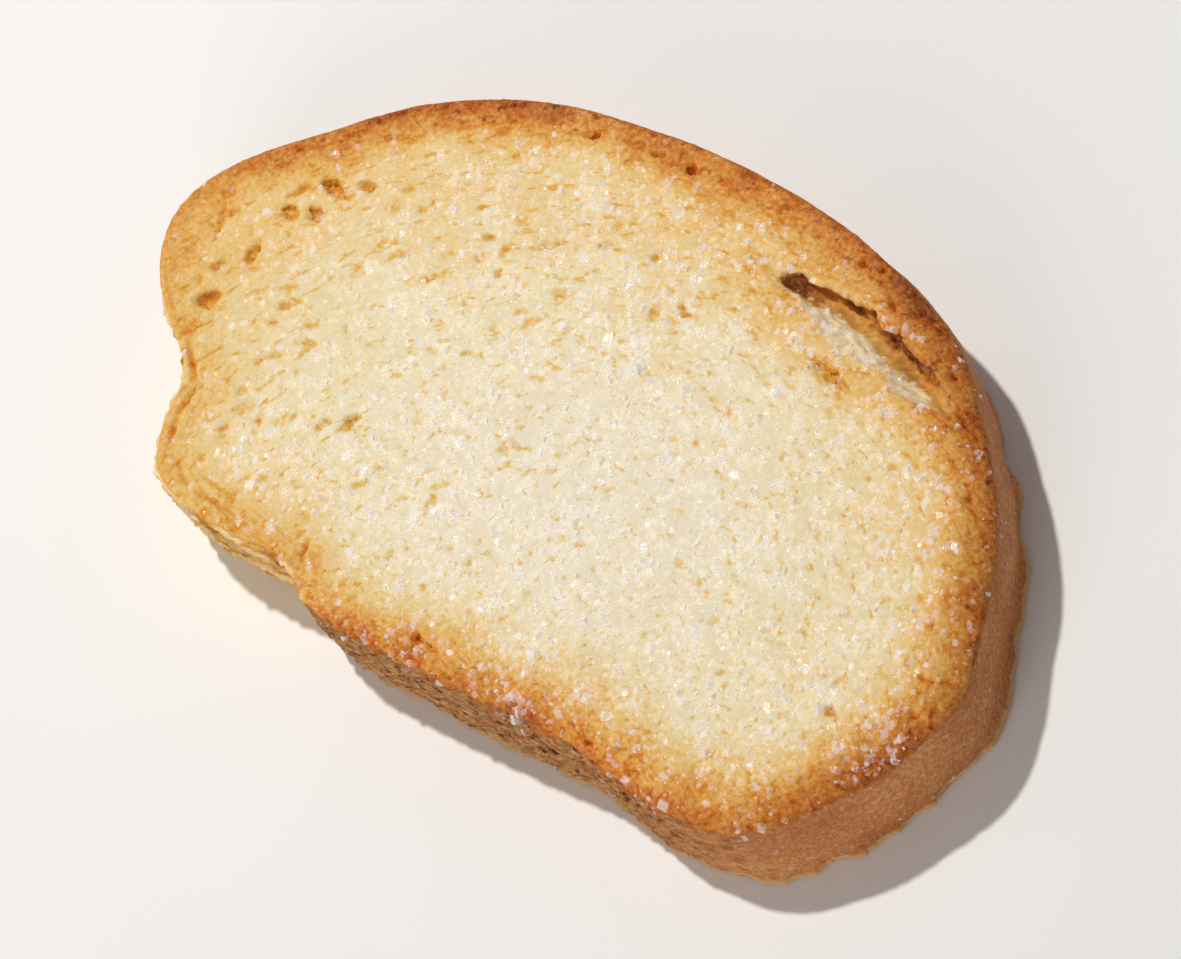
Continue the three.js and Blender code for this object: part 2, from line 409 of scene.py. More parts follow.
def pressCells(bm, tree, found, level, side, wander):
    # Each cell presses the vertices under a ragged oval down along the slice's thickness, and is
    # painted with golden shade that deepens with its depth
    shadeInPores = bm.verts.layers.float["shadeInPores"]
    warp, broken = wander
    wallTop, wallFoot = pores["wall"]
    for x, y, length, width, depth, turn in found:
        c, s = math.cos(math.radians(turn)), math.sin(math.radians(turn))
        for co, index, away in tree.find_range(Vector((x, y, 0)), length * 0.62 + 0.4):
            shift = noise.noise_vector(Vector((co.x, co.y, level)) * 1.8) * warp
            along = (co.x + shift.x - x) * c + (co.y + shift.y - y) * s
            across = (co.y + shift.y - y) * c - (co.x + shift.x - x) * s
            far = math.hypot(along / (length / 2), across / (width / 2))
            if far < wallTop:
                press = ease(wallTop, wallFoot, far)
                uneven = 1 + broken * noise.noise(Vector((co.x, co.y, level + 5)) * 1.9)
                v = bm.verts[index]
                v.co.z -= side * depth * press * uneven * mm
                # painted shade in the cell: golden, deeper where the cell is deeper
                v[shadeInPores] = max(v[shadeInPores], press ** 0.6 * min(1.0, pores["golden"] + depth))


# Relief in mm; a pair is the height of a plain ripple and its waves to the millimetre
reliefs = {
    "crumb": 0.06,
    "crumbFine": (0.03, 1.2),
    "crumbGrain": (0.02, 2.6),
    "rimGrain": 0.13,
    "rimReach": (4.5, 1.0),  # insets between which the rim's grain grows
    "dome": 0.16,
    "domeFine": (0.05, 1.3),
    "baseStreak": 0.30,
    "basePit": 0.30,
    "leaf": 0.70,
    "leafFine": 0.28,
    "leafPitch": 1.35,  # height of one leaf of the torn end
    "leafDrift": (0.9, 0.45),  # how far the leaves wander up and down, coarse and fine
    "wave": (0.70, 0.11),  # of the lower edge
    "jag": 0.80,
    "jagHeight": 2.0,
    "baseCalm": 0.85,  # share of its teeth that the base crust lacks
    "chip": (0.18, 1.7),
    "burr": 0.30,
    "burrHeight": 0.8,
    "footHeight": 0.2,  # up to here teeth and burr are at their full size
}
# The hollow under the dome crust: along its deepest line, x, y and the width of its crumb ramp
cave = {
    "path": [
        (9.8, 20.9, 0.6), (14.0, 20.6, 1.3), (17.0, 20.2, 2.2), (19.0, 19.9, 2.8), (21.0, 19.3, 2.8),
        (23.0, 18.8, 2.2), (24.9, 18.2, 1.4), (26.4, 17.9, 2.1), (28.2, 17.4, 2.6), (29.9, 17.0, 1.9),
        (31.0, 16.7, 0.8), (32.6, 16.1, 0.5)],
    "steps": 12,  # from one of these to the next
    "reach": 4.2,
    "clear": (0.6, 3.0),  # it stays this far from the outline and from the underside
    "start": 0.8,  # how far beyond the deepest line the ramp starts
    "rise": 2.3,  # height of the ramp
    "ragged": (0.55, 0.22),  # of its steep side, coarse and fine
    "raggedGain": 1.6,
    "lump": 0.22,  # of the ramp's crumb
    "golden": 0.14,  # extra browning of the face beside it
    "goldenReach": (7.5, 3.0),
    "shadedEnd": (15.5, 12.5),  # x over which its left end turns dark with painted shade
    "jag": 0.55,  # how far the line between crumb and brown wall wanders
}


def caveLine():  # the cave's deepest line in short steps, as a tree of points and the ramp widths
    points, widths = [], []
    for (xa, ya, wa), (xb, yb, wb) in zip(cave["path"], cave["path"][1:]):
        for i in range(cave["steps"]):
            points.append(Vector((
                xa + (xb - xa) * i / cave["steps"], ya + (yb - ya) * i / cave["steps"], 0)))
            widths.append(wa + (wb - wa) * i / cave["steps"])
    return makeTree(points), widths


def caveInwards(place, caveTree, widths):
    # Distance from the cave's deepest line, above 0 on the ramp's side, and the ramp's width there
    deepest, index, gap = caveTree.find(Vector((place.x, place.y, 0)))
    return math.copysign(gap, deepest.length - math.hypot(place.x, place.y)), widths[index]


def caveAt(p, depth, dished, inwards, rampWidth):
    # In the hollow: how far the face has given way to it, how brown its wall is, and how many mm
    # of crumb fill it up to the ramp. The wall's brown is the crust's own, darkened with painted
    # shade under the overhanging rim and towards the left end
    jag = cave["jag"] * (noise.noise(p * 0.6) + 0.5 * noise.noise(p * 1.8))
    up = (inwards + cave["start"] + 0.35 * noise.noise(p * 0.9)) / (rampWidth + cave["start"])
    inCave = ease(1.06, 0.94, up) if inwards > 0 else ease(0.4, 1.0, depth)
    inCave *= ease(0.25, 0.6, depth)
    # painted shade: darker under the overhanging rim and towards the hollow's left end
    dark = max(ease(-0.9, -1.7, inwards + jag), ease(*cave["shadedEnd"], p.x))
    brown = ease(0.8, 0.3, inwards + jag + 0.35 * (rampWidth - 1.6))
    wall = inCave * brown * (0.45 + 0.45 * dark)
    fill = max(0.0, depth - dished - cave["rise"] * max(0.0, 1 - max(0.0, up)) ** 1.1)
    return inCave, wall, fill


def ripple(kind, place):
    height, pitch = reliefs[kind]
    return height * noise.noise(place * pitch)


def sideRelief(p, torn, base):
    # Offset of the side, in mm outwards: smooth wrinkled dome, fibrous base, flaky torn end
    dome = reliefs["dome"] * noise.noise(Vector((p.x * 0.22, p.y * 0.22, p.z * 0.30)))
    dome += ripple("domeFine", p)
    strand = Vector((p.x * 0.38, p.y * 0.38, (p.z + p.x * 0.22) * 1.5))  # long, thin and slanting
    fibre = reliefs["baseStreak"] * noise.fractal(strand, 0.8, 2.1, 3)
    pit = noise.noise(Vector((p.x * 0.8, p.y * 0.8, p.z * 1.5)))
    fibre -= reliefs["basePit"] * (max(0.0, pit - 0.12) * 4 + 0.6 * noise.noise(p * 1.9))
    coarse, fine = reliefs["leafDrift"]
    drift = p.z + coarse * noise.noise(Vector((p.x * 0.16, p.y * 0.16, 3.1)))
    drift += fine * ease(0.3, 2.0, cadHigh.z / mm - p.z) * noise.noise(p * 0.6)
    leaf = reliefs["leaf"] * (abs((drift / reliefs["leafPitch"]) % 1.0 - 0.5) * 2 - 0.6)
    leaf += reliefs["leafFine"] * noise.fractal(p * 1.1, 0.8, 2.0, 3)
    offset = dome * (1 - base) + fibre * base
    return offset * (1 - torn) + leaf * torn


def lowerEdge(rim, base):
    # The lower edge wanders, with cusps where the slice was sawn through its crust
    place = Vector((rim.x, rim.y, 7.7))
    cusp = 1 - 3.2 * abs(noise.noise(place * 0.24))
    teeth = reliefs["jag"] * cusp + ripple("chip", place)
    return ripple("wave", place) + (1 - reliefs["baseCalm"] * base) * teeth


def frayAt(p):
    # The frayed rims of the largest cells: sideways and alike at every depth, so nothing folds
    near = max(
        ease(length * 0.5 + pores["frayReach"], length * 0.5, math.dist(p.xy, (x, y)))
        for x, y, length, *rest in cells[:pores["largest"]])
    if near == 0:
        return Vector()
    coarse, fine = pores["fray"]
    place = Vector((p.x, p.y, 2.0))
    swirl = noise.noise_vector(place * 0.9) * coarse + noise.noise_vector(place * 2.2) * fine
    return Vector((swirl.x, swirl.y, 0)) * near


def wornDrop(inset, depth, bearing, rim):
    # How far the upper edge has worn down: the face slopes to it, the side closes up under it
    around = (bearing + 180) % 360
    worn = within(*slab["worn"], around, 15.0) * (0.35 + 0.65 * ease(100, 135, around))
    worn *= slab["wornDrop"] * (1 + 0.4 * noise.noise(rim * 0.15))
    slope = max(0.0, 1 - max(0.0, inset) / slab["wornWidth"]) ** 1.8
    return worn * slope * max(0.0, 1 - depth / slab["wornDepth"])


def sculptSlice(bm, outline):
    noise.seed_set(slab["seed"])
    tree = makeTree(outline)
    outwards = outwardAt(outline)
    caveTree, widths = caveLine()
    names = ("tone", "shadeInPores", "side", "torn", "base", "cave", "wall", "gap")
    layers = {name: bm.verts.layers.float.new(name) for name in names}
    flow = bm.verts.layers.float_vector.new("flow")
    bm.normal_update()
    moves = []
    for v in bm.verts:
        p, n = v.co / mm, v.normal
        rim, index, gap = tree.find(Vector((p.x, p.y, 0)))
        bearing = bearingOf(rim.x, rim.y)
        side = ease(*slab["sideSlope"], abs(n.z)) * ease(*slab["crustDepth"], gap)
        torn = within(slab["tornFrom"], slab["tornTo"], bearing, 2.0)
        base = ease(*slab["baseFrom"], bearing) * ease(*slab["baseTo"], bearing)
        depth, steep = cadHigh.z / mm - p.z, ease(*slab["steepSlope"], n.z)
        dish, dishReach = slab["dish"]
        dished = dish * math.sin(min(1.0, gap / dishReach) * math.pi / 2)
        inwards, rampWidth = caveInwards(p, caveTree, widths)
        rimClear, floorClear = cave["clear"]
        hollowed = abs(inwards) < cave["reach"] and gap > rimClear and p.z > floorClear
        inCave, wall, fill = 0.0, 0.0, 0.0
        if hollowed:
            side *= 1 - ease(0.5, 1.2, depth)
            inCave, wall, fill = caveAt(p, depth, dished, inwards, rampWidth)

        beside = ease(*cave["goldenReach"], inwards) * ease(-0.5, 1.0, inwards)
        over, swing = slab["toastOver"]
        toasted = (over + swing * noise.noise(p * 0.4)) * base
        v[layers["side"]] = side * ease(toasted - 0.3, toasted + 0.4, depth + 0.1)
        v[layers["torn"]] = torn
        v[layers["base"]] = base
        v[layers["cave"]] = inCave
        # painted shade in the recesses of the cells cut in CAD
        deep = ease(*pores["cadDepth"], depth - dished) * ease(1.2, 2.0, gap) * ease(-0.4, 0.0, n.z)
        v[layers["shadeInPores"]] = 0.0 if hollowed else pores["cadShade"] * deep
        v[layers["wall"]] = wall
        v[layers["gap"]] = min(12.0, gap)
        v[layers["tone"]] = toneAt(p, gap, bearing) + cave["golden"] * beside
        rise = Vector((p.x - slab["rose"][0], p.y - slab["rose"][1]))
        v[flow] = (math.atan2(rise.x, rise.y) * slab["arc"], rise.length, p.z)

        crumb = reliefs["crumb"] * noise.fractal(p * 0.30, 0.7, 2.1, 3)
        crumb += ripple("crumbFine", p) + ripple("crumbGrain", p)
        edge = ease(*reliefs["rimReach"], gap) * (1 - 0.7 * side * (1 - base))
        crumb += reliefs["rimGrain"] * edge * noise.noise(p * 1.9)
        move = n * (crumb * (1 - side) + sideRelief(p, torn, base) * side)
        if hollowed:
            coarse, fine = cave["ragged"]
            ragged = noise.noise_vector(p * 0.5) * coarse + noise.noise_vector(p * 1.8) * fine
            move += ragged * cave["raggedGain"] * steep
            sand = cave["lump"] * (noise.noise(p * 0.9) + 0.6 * noise.noise(p * 2.2))
            move.z += fill + sand * inCave * (1 - steep)
        if depth < 2.5:
            move += frayAt(p)
        flat = Vector((n.x, n.y, 0))
        if flat.length > 0.01:
            foot = reliefs["footHeight"]
            low = ease(reliefs["jagHeight"], foot, p.z) * side * (1 - torn)
            move += flat.normalized() * (low * lowerEdge(rim, base))
            low = ease(reliefs["burrHeight"], foot, p.z) * side * (1 - torn)
            move += flat.normalized() * (low * reliefs["burr"] * (0.8 + noise.noise(rim * 0.7)))
        move.z -= wornDrop((rim - p).dot(outwards[index]), depth, bearing, rim)
        moves.append(move * mm)
    for v, move in zip(bm.verts, moves):
        v.co += move
        v.co.z = max(v.co.z, 0.0)


def openPores(bm):
    bm.verts.ensure_lookup_table()
    draw = random.Random(pores["seed"])
    middle = cadHigh.z / 2
    for side, found, wander in (
            (1, cells + scatterPores(pores["top"], draw), pores["wander"]),
            (1, creases, pores["creaseWander"]),
            (-1, scatterPores(pores["under"], draw), pores["wander"])):
        tree = kdtree.KDTree(len(bm.verts))
        for v in bm.verts:
            if (v.co.z - middle) * side > 0 and v.normal.z * side > 0.6:
                tree.insert(Vector((v.co.x, v.co.y, 0)) / mm, v.index)
        tree.balance()
        pressCells(bm, tree, found, 4.0 * side, side, wander)


def thinPlainAreas(piece):
    # Fewer faces inside the underside and on the far crust, where nothing needs them
    gaps = [item.value for item in piece.data.attributes["gap"].data]
    group = piece.vertex_groups.new(name="plain")
    heights, insets = slab["plainUnder"]
    for v in piece.data.vertices:
        height = v.co.z / mm
        under = ease(*heights, height) * ease(*insets, gaps[v.index])
        far = 0.4 * within(*slab["plainFar"], bearingOf(v.co.x, v.co.y)) * ease(8.0, 6.0, height)
        group.add([v.index], max(under, far), "REPLACE")
    share = slab["triangles"] / sum(len(face.vertices) - 2 for face in piece.data.polygons)
    applyModifier(piece, "DECIMATE", ratio=share, vertex_group="plain", vertex_group_factor=0.25)
    piece.vertex_groups.clear()


def makeSlice(outline):
    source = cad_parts["rusk"].data
    bm = bmesh.new()
    bm.from_mesh(source)
    bmesh.ops.remove_doubles(bm, verts=bm.verts, dist=0.001 * mm)
    mesh = bpy.data.meshes.new("slice")
    bm.to_mesh(mesh)
    bm.free()
    piece = showMesh("rusk_slice", mesh)
    applyModifier(piece, "REMESH", mode="VOXEL", voxel_size=slab["voxel"] * mm)
    bm = bmesh.new()
    bm.from_mesh(piece.data)
    for step in range(slab["smoothing"]):
        bmesh.ops.smooth_vert(
            bm, verts=bm.verts, factor=0.5, use_axis_x=True, use_axis_y=True, use_axis_z=True)
    sculptSlice(bm, outline)
    bm.normal_update()
    openPores(bm)
    bmesh.ops.recalc_face_normals(bm, faces=bm.faces)
    bm.to_mesh(piece.data)
    print("slice:", len(bm.faces), "faces as sculpted")
    bm.free()
    thinPlainAreas(piece)
    for face in piece.data.polygons:
        face.use_smooth = True
    print("slice:", sum(len(face.vertices) - 2 for face in piece.data.polygons), "triangles kept")
    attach(piece, "root")
    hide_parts("rusk")
    return piece


# What shows in the bread, with sizes in mm
breadLook = {
    "patterns": {  # size, detail and roughness
        "grain": (0.45, 4.0, 0.65),  # dried specks of crumb
        "drift": (7.0, 3.0, 0.5),  # patches of deeper browning
        "speck": (0.8, 4.0, 0.5),  # dark specks in the browned rim
        "domeGrain": (0.42, 5.0, 0.7),
        "pit": (1.1, 4.0, 0.5),  # dark pits in the base crust
    },
    "grainSwing": 0.11,  # how far each shifts the browning
    "driftSwing": 0.07,
    "cell": (1.6, 0.8),  # small cells, painted as golden shade, along and across the loaf's arcs
    "strand": (1.3, 0.42),  # strands in the base crust: along it, and up it
    "strandTilt": 14,  # degrees
    "leafLine": 0.55,  # edges of the leaves where they show on the torn end's face
    "leafRun": 2.5,  # how soon these lines change along the rim
    "leafInset": (6.0, 3.0),  # distance from the rim over which they appear
    "leaf": (4.0, 0.9),  # leaves of the torn end
    "lip": (0.5, 0.95),  # height over which the painted highlight along the side's foot ends
    "bump": 0.10,
    "baseBump": 0.28,
    "speckColour": "#a8683a",
    "pitColour": "#a97a54",
    # painted highlight along the side's foot
    "lipColour": "#e8b980",
    "faceStops": [
        (0.0, "#efe4cc"), (0.12, "#eee0bb"), (0.22, "#edd4a0"), (0.36, "#eac47b"), (0.50, "#e4ac59"),
        (0.64, "#d89141"), (0.78, "#c7762f"), (0.90, "#b06329"), (1.0, "#8c4c20")],
    # painted shade of small cells that are not cut in the mesh
    "cellShadeStops": [(0.59, "#ffffff"), (0.66, "#f8e1ac"), (0.75, "#eec67a"), (0.85, "#d39c4a")],
    # painted shade in the open pores
    "poreShadeStops": [(0.0, "#ffffff"), (0.38, "#f8e2a8"), (0.68, "#f0c873"), (1.0, "#cf943d")],
    # the hollow's wall: its darkest stops carry the painted shade
    "wallStops": [
        (0.0, "#f2dcb4"), (0.18, "#e8cb94"), (0.38, "#dba751"), (0.60, "#cb8a37"), (0.82, "#aa6228"),
        (1.0, "#703614")],
    "baseStops": [(0.0, "#7e4520"), (0.3, "#b67540"), (0.6, "#d69b60"), (1.0, "#f5d09e")],
    "tornStops": [(0.0, "#b8742a"), (0.3, "#dea953"), (0.55, "#f2cd8a"), (1.0, "#f9e0ac")],
    "lineStops": [(0.52, "#ffffff"), (0.64, "#fbefd4"), (0.76, "#f3d8a4")],
    "domeStops": [(0.0, "#a35f33"), (0.5, "#c27a45"), (1.0, "#dca36c")],
}


def bakedBread():
    # Twice-baked milk bread: sawn crumb dried to pale gold, toasted brown at the rim, a matt
    # smooth dome crust, a fibrous base crust, and cream torn layers. Nothing on it shines.
    look = breadLook
    material, tree, shader = openMaterial("baked_milk_bread")
    coords = addNode(tree, "TexCoord")
    value = {
        name: addNode(tree, "Attribute", attribute_name=name)
        for name in ("tone", "shadeInPores", "side", "torn", "base", "cave", "wall", "gap", "flow")}
    pattern = {
        name: addNode(
            tree, "TexNoise", [("Vector", coords, "Object")],
            [("Scale", 1 / (size * mm)), ("Detail", detail), ("Roughness", roughness)])
        for name, (size, detail, roughness) in look["patterns"].items()}
    spanned = [("From Min", 0.3), ("From Max", 0.7)]  # what a pattern mostly spans
    multiplied = {"data_type": "RGBA", "blend_type": "MULTIPLY"}

    # Cut face: browning broken up by grain and drift, most of all where it is brown
    grainSwing, driftSwing = (
        addNode(
            tree, "MapRange", [("Value", pattern[name])],
            [*spanned, ("To Min", -look[name + "Swing"]), ("To Max", look[name + "Swing"])])
        for name in ("grain", "drift"))
    swing = addNode(tree, "Math", [(0, grainSwing), (1, driftSwing)])
    reach = addNode(
        tree, "Math", [(0, value["tone"], "Fac")], [(1, 1.5), (2, 0.55)], operation="MULTIPLY_ADD")
    browned = addNode(
        tree, "Math", [(0, swing), (1, reach), (2, value["tone"], "Fac")], operation="MULTIPLY_ADD")
    face = addNode(tree, "ValToRGB", [("Fac", browned)], stops=look["faceStops"])

    # Small cells: golden painted shade in ragged noise drawn out a little along the arcs, more of them
    # where it is golden
    long, wide = look["cell"]
    arcs = addNode(
        tree, "Mapping", [("Vector", value["flow"], "Vector")],
        [("Scale", (1 / long, 1 / wide, 1 / wide))])
    cellNoise = addNode(
        tree, "TexNoise", [("Vector", arcs)],
        [("Scale", 1.0), ("Detail", 3.0), ("Roughness", 0.6), ("Distortion", 0.3)])
    cellShare = addNode(
        tree, "Math", [(0, value["tone"], "Fac"), (2, cellNoise)], [(1, 0.10)],
        operation="MULTIPLY_ADD")
    cellShade = addNode(tree, "ValToRGB", [("Fac", cellShare)], stops=look["cellShadeStops"])
    cellShaded = addNode(
        tree, "Mix", [("A", face), ("B", cellShade)], [("Factor", 1.0)], **multiplied)

    # Dark specks, only where it is browned, and painted golden shade in the open pores
    speckMask = addNode(
        tree, "MapRange", [("Value", pattern["speck"])], [("From Min", 0.56), ("From Max", 0.68)])
    toasted = addNode(
        tree, "MapRange", [("Value", value["tone"], "Fac")],
        [("From Min", 0.35), ("From Max", 0.8), ("To Max", 0.85)])
    toastedSpecks = addNode(tree, "Math", [(0, speckMask), (1, toasted)], operation="MULTIPLY")
    specked = addNode(
        tree, "Mix", [("Factor", toastedSpecks), ("A", cellShaded)],
        [("B", linear(look["speckColour"]))], **multiplied)
    uneven = addNode(
        tree, "MapRange", [("Value", pattern["grain"])],
        [*spanned, ("To Min", 0.55), ("To Max", 1.25)])
    poreShadeShare = addNode(
        tree, "Math", [(0, value["shadeInPores"], "Fac"), (1, uneven)], operation="MULTIPLY")
    poreShade = addNode(tree, "ValToRGB", [("Fac", poreShadeShare)], stops=look["poreShadeStops"])
    pitted = addNode(
        tree, "Mix", [("A", specked), ("B", poreShade)], [("Factor", 1.0)], **multiplied)

    # Torn end: edges of its thin leaves, in golden lines that follow the rim
    inset = addNode(
        tree, "Math", [(0, value["gap"], "Fac")], [(1, look["leafLine"])], operation="DIVIDE")
    across = addNode(tree, "CombineXYZ", [("X", inset)])
    slow = addNode(
        tree, "Mapping", [("Vector", coords, "Object")],
        [("Scale", [1 / (look["leafRun"] * mm)] * 3)])
    leafPlace = addNode(tree, "VectorMath", [(0, slow), (1, across)], operation="ADD")
    leafNoise = addNode(
        tree, "TexNoise", [("Vector", leafPlace)],
        [("Scale", 1.0), ("Detail", 3.0), ("Distortion", 0.4)])
    leafLines = addNode(tree, "ValToRGB", [("Fac", leafNoise)], stops=look["lineStops"])
    far, near = look["leafInset"]
    nearRim = addNode(
        tree, "MapRange", [("Value", value["gap"], "Fac")],
        [("From Min", far), ("From Max", near), ("To Min", 0.0), ("To Max", 1.0)])
    leafed = addNode(
        tree, "Math", [(0, nearRim), (1, value["torn"], "Fac")], operation="MULTIPLY")
    lined = addNode(
        tree, "Mix", [("Factor", leafed), ("A", pitted), ("B", leafLines)], **multiplied)

    # The hollow: a pale sandy ramp, golden brown up its steep side, darkened with painted shade under
    # the rim and at the left end
    wallTone = addNode(
        tree, "Math", [(0, swing), (2, value["wall"], "Fac")], [(1, 1.6)],
        operation="MULTIPLY_ADD")
    caveWall = addNode(tree, "ValToRGB", [("Fac", wallTone)], stops=look["wallStops"])
    caved = addNode(
        tree, "Mix", [("Factor", value["cave"], "Fac"), ("A", lined), ("B", caveWall)],
        data_type="RGBA")

    # Dome crust: fine grain over wide patches
    domeWide = addNode(tree, "MapRange", [("Value", pattern["domeGrain"])], spanned)
    domeTone = addNode(
        tree, "Math", [(0, driftSwing), (2, domeWide)], [(1, 3.0)], operation="MULTIPLY_ADD")
    dome = addNode(tree, "ValToRGB", [("Fac", domeTone)], stops=look["domeStops"])

    # Base crust: slanting strands with dark pits between them
    long, high = (1 / (size * mm) for size in look["strand"])
    strands = addNode(
        tree, "Mapping", [("Vector", coords, "Object")],
        [("Rotation", (0, math.radians(look["strandTilt"]), 0)), ("Scale", (long, long, high))])
    fibre = addNode(
        tree, "TexNoise", [("Vector", strands)],
        [("Scale", 1.0), ("Detail", 5.0), ("Roughness", 0.7), ("Distortion", 0.5)])
    fibreWide = addNode(tree, "MapRange", [("Value", fibre)], spanned)
    strandColour = addNode(tree, "ValToRGB", [("Fac", fibreWide)], stops=look["baseStops"])
    pitMask = addNode(
        tree, "MapRange", [("Value", pattern["pit"])], [("From Min", 0.55), ("From Max", 0.66)])
    baseCrust = addNode(
        tree, "Mix", [("Factor", pitMask), ("A", strandColour)],
        [("B", linear(look["pitColour"]))], **multiplied)

    # Torn layers: cream, golden between them
    long, high = (1 / (size * mm) for size in look["leaf"])
    leaves = addNode(
        tree, "Mapping", [("Vector", coords, "Object")], [("Scale", (long, long, high))])
    leaf = addNode(tree, "TexNoise", [("Vector", leaves)], [("Scale", 1.0), ("Detail", 3.0)])
    leafWide = addNode(
        tree, "MapRange", [("Value", leaf)], [("From Min", 0.3), ("From Max", 0.65)])
    tornCrumb = addNode(tree, "ValToRGB", [("Fac", leafWide)], stops=look["tornStops"])

    # The whole side, with a painted highlight along its foot, laid over the face
    crust = addNode(
        tree, "Mix", [("Factor", value["base"], "Fac"), ("A", dome), ("B", baseCrust)],
        data_type="RGBA")
    height = addNode(tree, "SeparateXYZ", [("Vector", coords, "Object")])
    low, high = look["lip"]
    lip = addNode(
        tree, "MapRange", [("Value", height, "Z")],
        [("From Min", low * mm), ("From Max", high * mm), ("To Min", 0.95), ("To Max", 0.0)])
    lipped = addNode(
        tree, "Mix", [("Factor", lip), ("A", crust)], [("B", linear(look["lipColour"]))],
        data_type="RGBA")
    whole = addNode(
        tree, "Mix", [("Factor", value["torn"], "Fac"), ("A", lipped), ("B", tornCrumb)],
        data_type="RGBA")
    surface = addNode(
        tree, "Mix", [("Factor", value["side"], "Fac"), ("A", caved), ("B", whole)],
        data_type="RGBA")
    tree.links.new(surface.outputs["Result"], shader.inputs["Base Color"])
    shader.inputs["Roughness"].default_value = 0.8
    shader.inputs["Specular IOR Level"].default_value = 0.3

    # Fine roughness, and crags between the base's strands
    rough = addNode(
        tree, "Math", [(0, pattern["grain"]), (1, cellNoise)], operation="SUBTRACT")
    bump = addNode(
        tree, "Bump", [("Height", rough)], [("Strength", 0.5), ("Distance", look["bump"] * mm)])
    onBase = addNode(
        tree, "Math", [(0, value["side"], "Fac"), (1, value["base"], "Fac")],
        operation="MULTIPLY")
    crags = addNode(tree, "Math", [(0, fibreWide), (1, onBase)], operation="MULTIPLY")
    craggy = addNode(
        tree, "Bump", [("Height", crags), ("Normal", bump)],
        [("Strength", 0.8), ("Distance", look["baseBump"] * mm)])
    tree.links.new(craggy.outputs["Normal"], shader.inputs["Normal"])
    return material


# Granulated sugar, baked on: broken crystals part sunk in the crumb
sugar = {
    "seed": 5,
    "shapes": 16,  # crystals drawn for each kind
    # How many, mm across (most near the least), edges worn or not, share that clings to the sides
    "kinds": {
        "sugar_grains": (2600, (0.48, 1.05), True, 0.0),
        "sugar_bits": (4600, (0.3, 0.65), False, 0.015),
        "fine_sugar": (5600, (0.14, 0.32), False, 0.045),
    },
    "depth": (0.6, 1.0),  # against its width
    "height": (0.5, 0.85),
    "skew": (0.2, 0.24),
    "corners": (2, 4),  # broken off
    "cut": (0.08, 0.24),  # how far in they break, against its width
    "edge": (0.06, 0.12),  # worn edges, against its width
    "sunk": (0.35, 0.8),  # share of its height that is under the surface
    "lean": 22.0,  # degrees off the surface
    "level": 0.6,  # none stays where the surface is steeper than this upward normal
    "lowest": 7,  # none stays lower than this, except on the sides
    "area": (48, 29),  # half the length and width over which it falls
    "fallFrom": 30,
    "aside": (70, (0.8, 10.5), 25),  # rays to the sides: how far out, heights, half the length hit
    "asideShare": (0.4, 0.2),  # mean share that clings there, and its patches' waves to the mm
    "inCave": (3.0, 0.8, 0.6),  # in the hollow: its reach and depth, and the share on its ramp
    "besideCave": (0.4, (8.0, 5.0)),  # what is missing next to the hollow, and over what reach
    "thin": (0.22, (-42, -8)),  # least share, at the torn end, and x over which it grows
    "rimShare": (0.05, 0.20),  # share on the browned rim, at the dome and more at the base
    "rimInset": (2.0, 6.5),  # distance from the rim over which it grows
    "patches": (0.68, 0.28, 0.3),  # mean share, and its swing over wide and narrow patches
    "clumped": 0.011,  # share of it that lies in clumps
    "clumpShare": 0.8,
    "clumps": [  # x, y and spread
        (-27.0, -17.5, 1.2), (-27.4, -18.2, 0.8), (-25.6, -19.4, 0.9), (-2.0, -25.0, 1.2),
        (8.0, -24.5, 1.4), (11.8, -25.0, 1.4), (17.4, -24.2, 1.5), (22.0, -21.0, 1.2),
        (36.9, 13.2, 0.8), (43.0, 2.5, 1.0), (35.1, 9.9, 0.6), (41.4, -11.0, 1.2),
        (44.0, -14.4, 1.0), (45.2, -12.3, 0.9)],
    "milk": ("#f6f4f2", "#e4e3e4"),
    "cloud": 0.9,  # mm across a milk-white cloud
    "ripple": (0.22, 0.05),  # width and depth of the ripples on its facets
    "cover": (0.12, 0.72),  # of clear facets and of milk-white ones, which are partly painted glint
}


def makeCrystal(draw, worn):
    # A leaning block with corners broken off, its edges worn if asked
    bm = bmesh.new()
    bmesh.ops.create_cube(bm, size=1.0)
    size = (1.0, draw.uniform(*sugar["depth"]), draw.uniform(*sugar["height"]))
    bmesh.ops.scale(bm, verts=bm.verts, vec=size)
    for v in bm.verts:
        v.co.x += v.co.z * draw.uniform(*sugar["skew"])
    for corner in range(draw.randint(*sugar["corners"])):
        x, y, z = (draw.choice((-1, 1)) for axis in range(3))
        away = Vector((x, y, z * draw.uniform(0.4, 1.4))).normalized()
        reach = max(v.co.dot(away) for v in bm.verts) - draw.uniform(*sugar["cut"])
        everything = bm.verts[:] + bm.edges[:] + bm.faces[:]
        cut = bmesh.ops.bisect_plane(
            bm, geom=everything, dist=0.0001, plane_co=away * reach, plane_no=away, clear_outer=True)
        rimEdges = [item for item in cut["geom_cut"] if isinstance(item, bmesh.types.BMEdge)]
        bmesh.ops.contextual_create(bm, geom=rimEdges)
    if worn:
        bmesh.ops.bevel(
            bm, geom=bm.edges[:], offset=draw.uniform(*sugar["edge"]), segments=1, profile=0.5,
            affect="EDGES", material=-1, clamp_overlap=True)
    bmesh.ops.recalc_face_normals(bm, faces=bm.faces)
    # facets picked at random to be milk-white: the sugar's own whiteness, and partly painted glint
    milkAndGlint = bm.faces.layers.float.new("milkAndGlint")
    for face in bm.faces:
        face[milkAndGlint] = draw.random() ** 1.5
    mesh = bpy.data.meshes.new("crystal")
    bm.to_mesh(mesh)
    bm.free()
    return mesh


